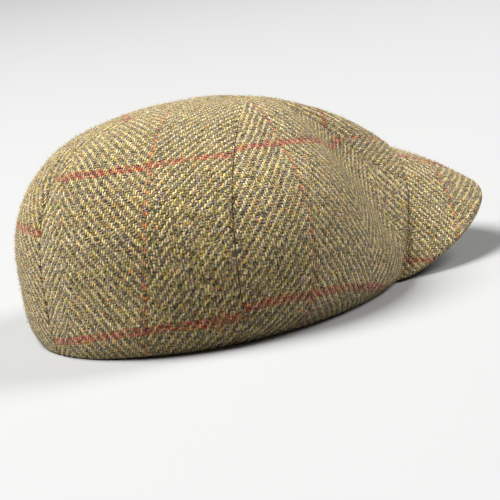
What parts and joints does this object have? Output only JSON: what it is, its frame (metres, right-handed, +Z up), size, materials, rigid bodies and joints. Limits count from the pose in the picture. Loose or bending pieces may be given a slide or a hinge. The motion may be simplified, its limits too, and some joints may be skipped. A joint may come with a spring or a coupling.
{
  "type": "flat cap",
  "caption": "Herringbone tweed flat cap: gores rising to a forward centre over an open head hollow, and a short arched peak.",
  "frame": {"origin": "the middle of the cap's box as seen from above, on the surface that the rim rests on", "axes": "+Z up, -Y towards the peak, -X the wearer's right"},
  "size_m": [0.1832, 0.2734, 0.1105],
  "materials": {
    "crown_tweed": "thick woolly herringbone tweed in mixed ochre, olive, cream and slate, with a fine overcheck in red and orange",
    "peak_tweed": "the same tweed, stretched over a stiff board"
  },
  "bodies": {
    "root": {"crown_rear_left": "crown_tweed", "crown_rear_right": "crown_tweed", "crown_side_left": "crown_tweed", "crown_side_right": "crown_tweed", "crown_front": "crown_tweed", "peak": "peak_tweed"}
  },
  "joints": []
}
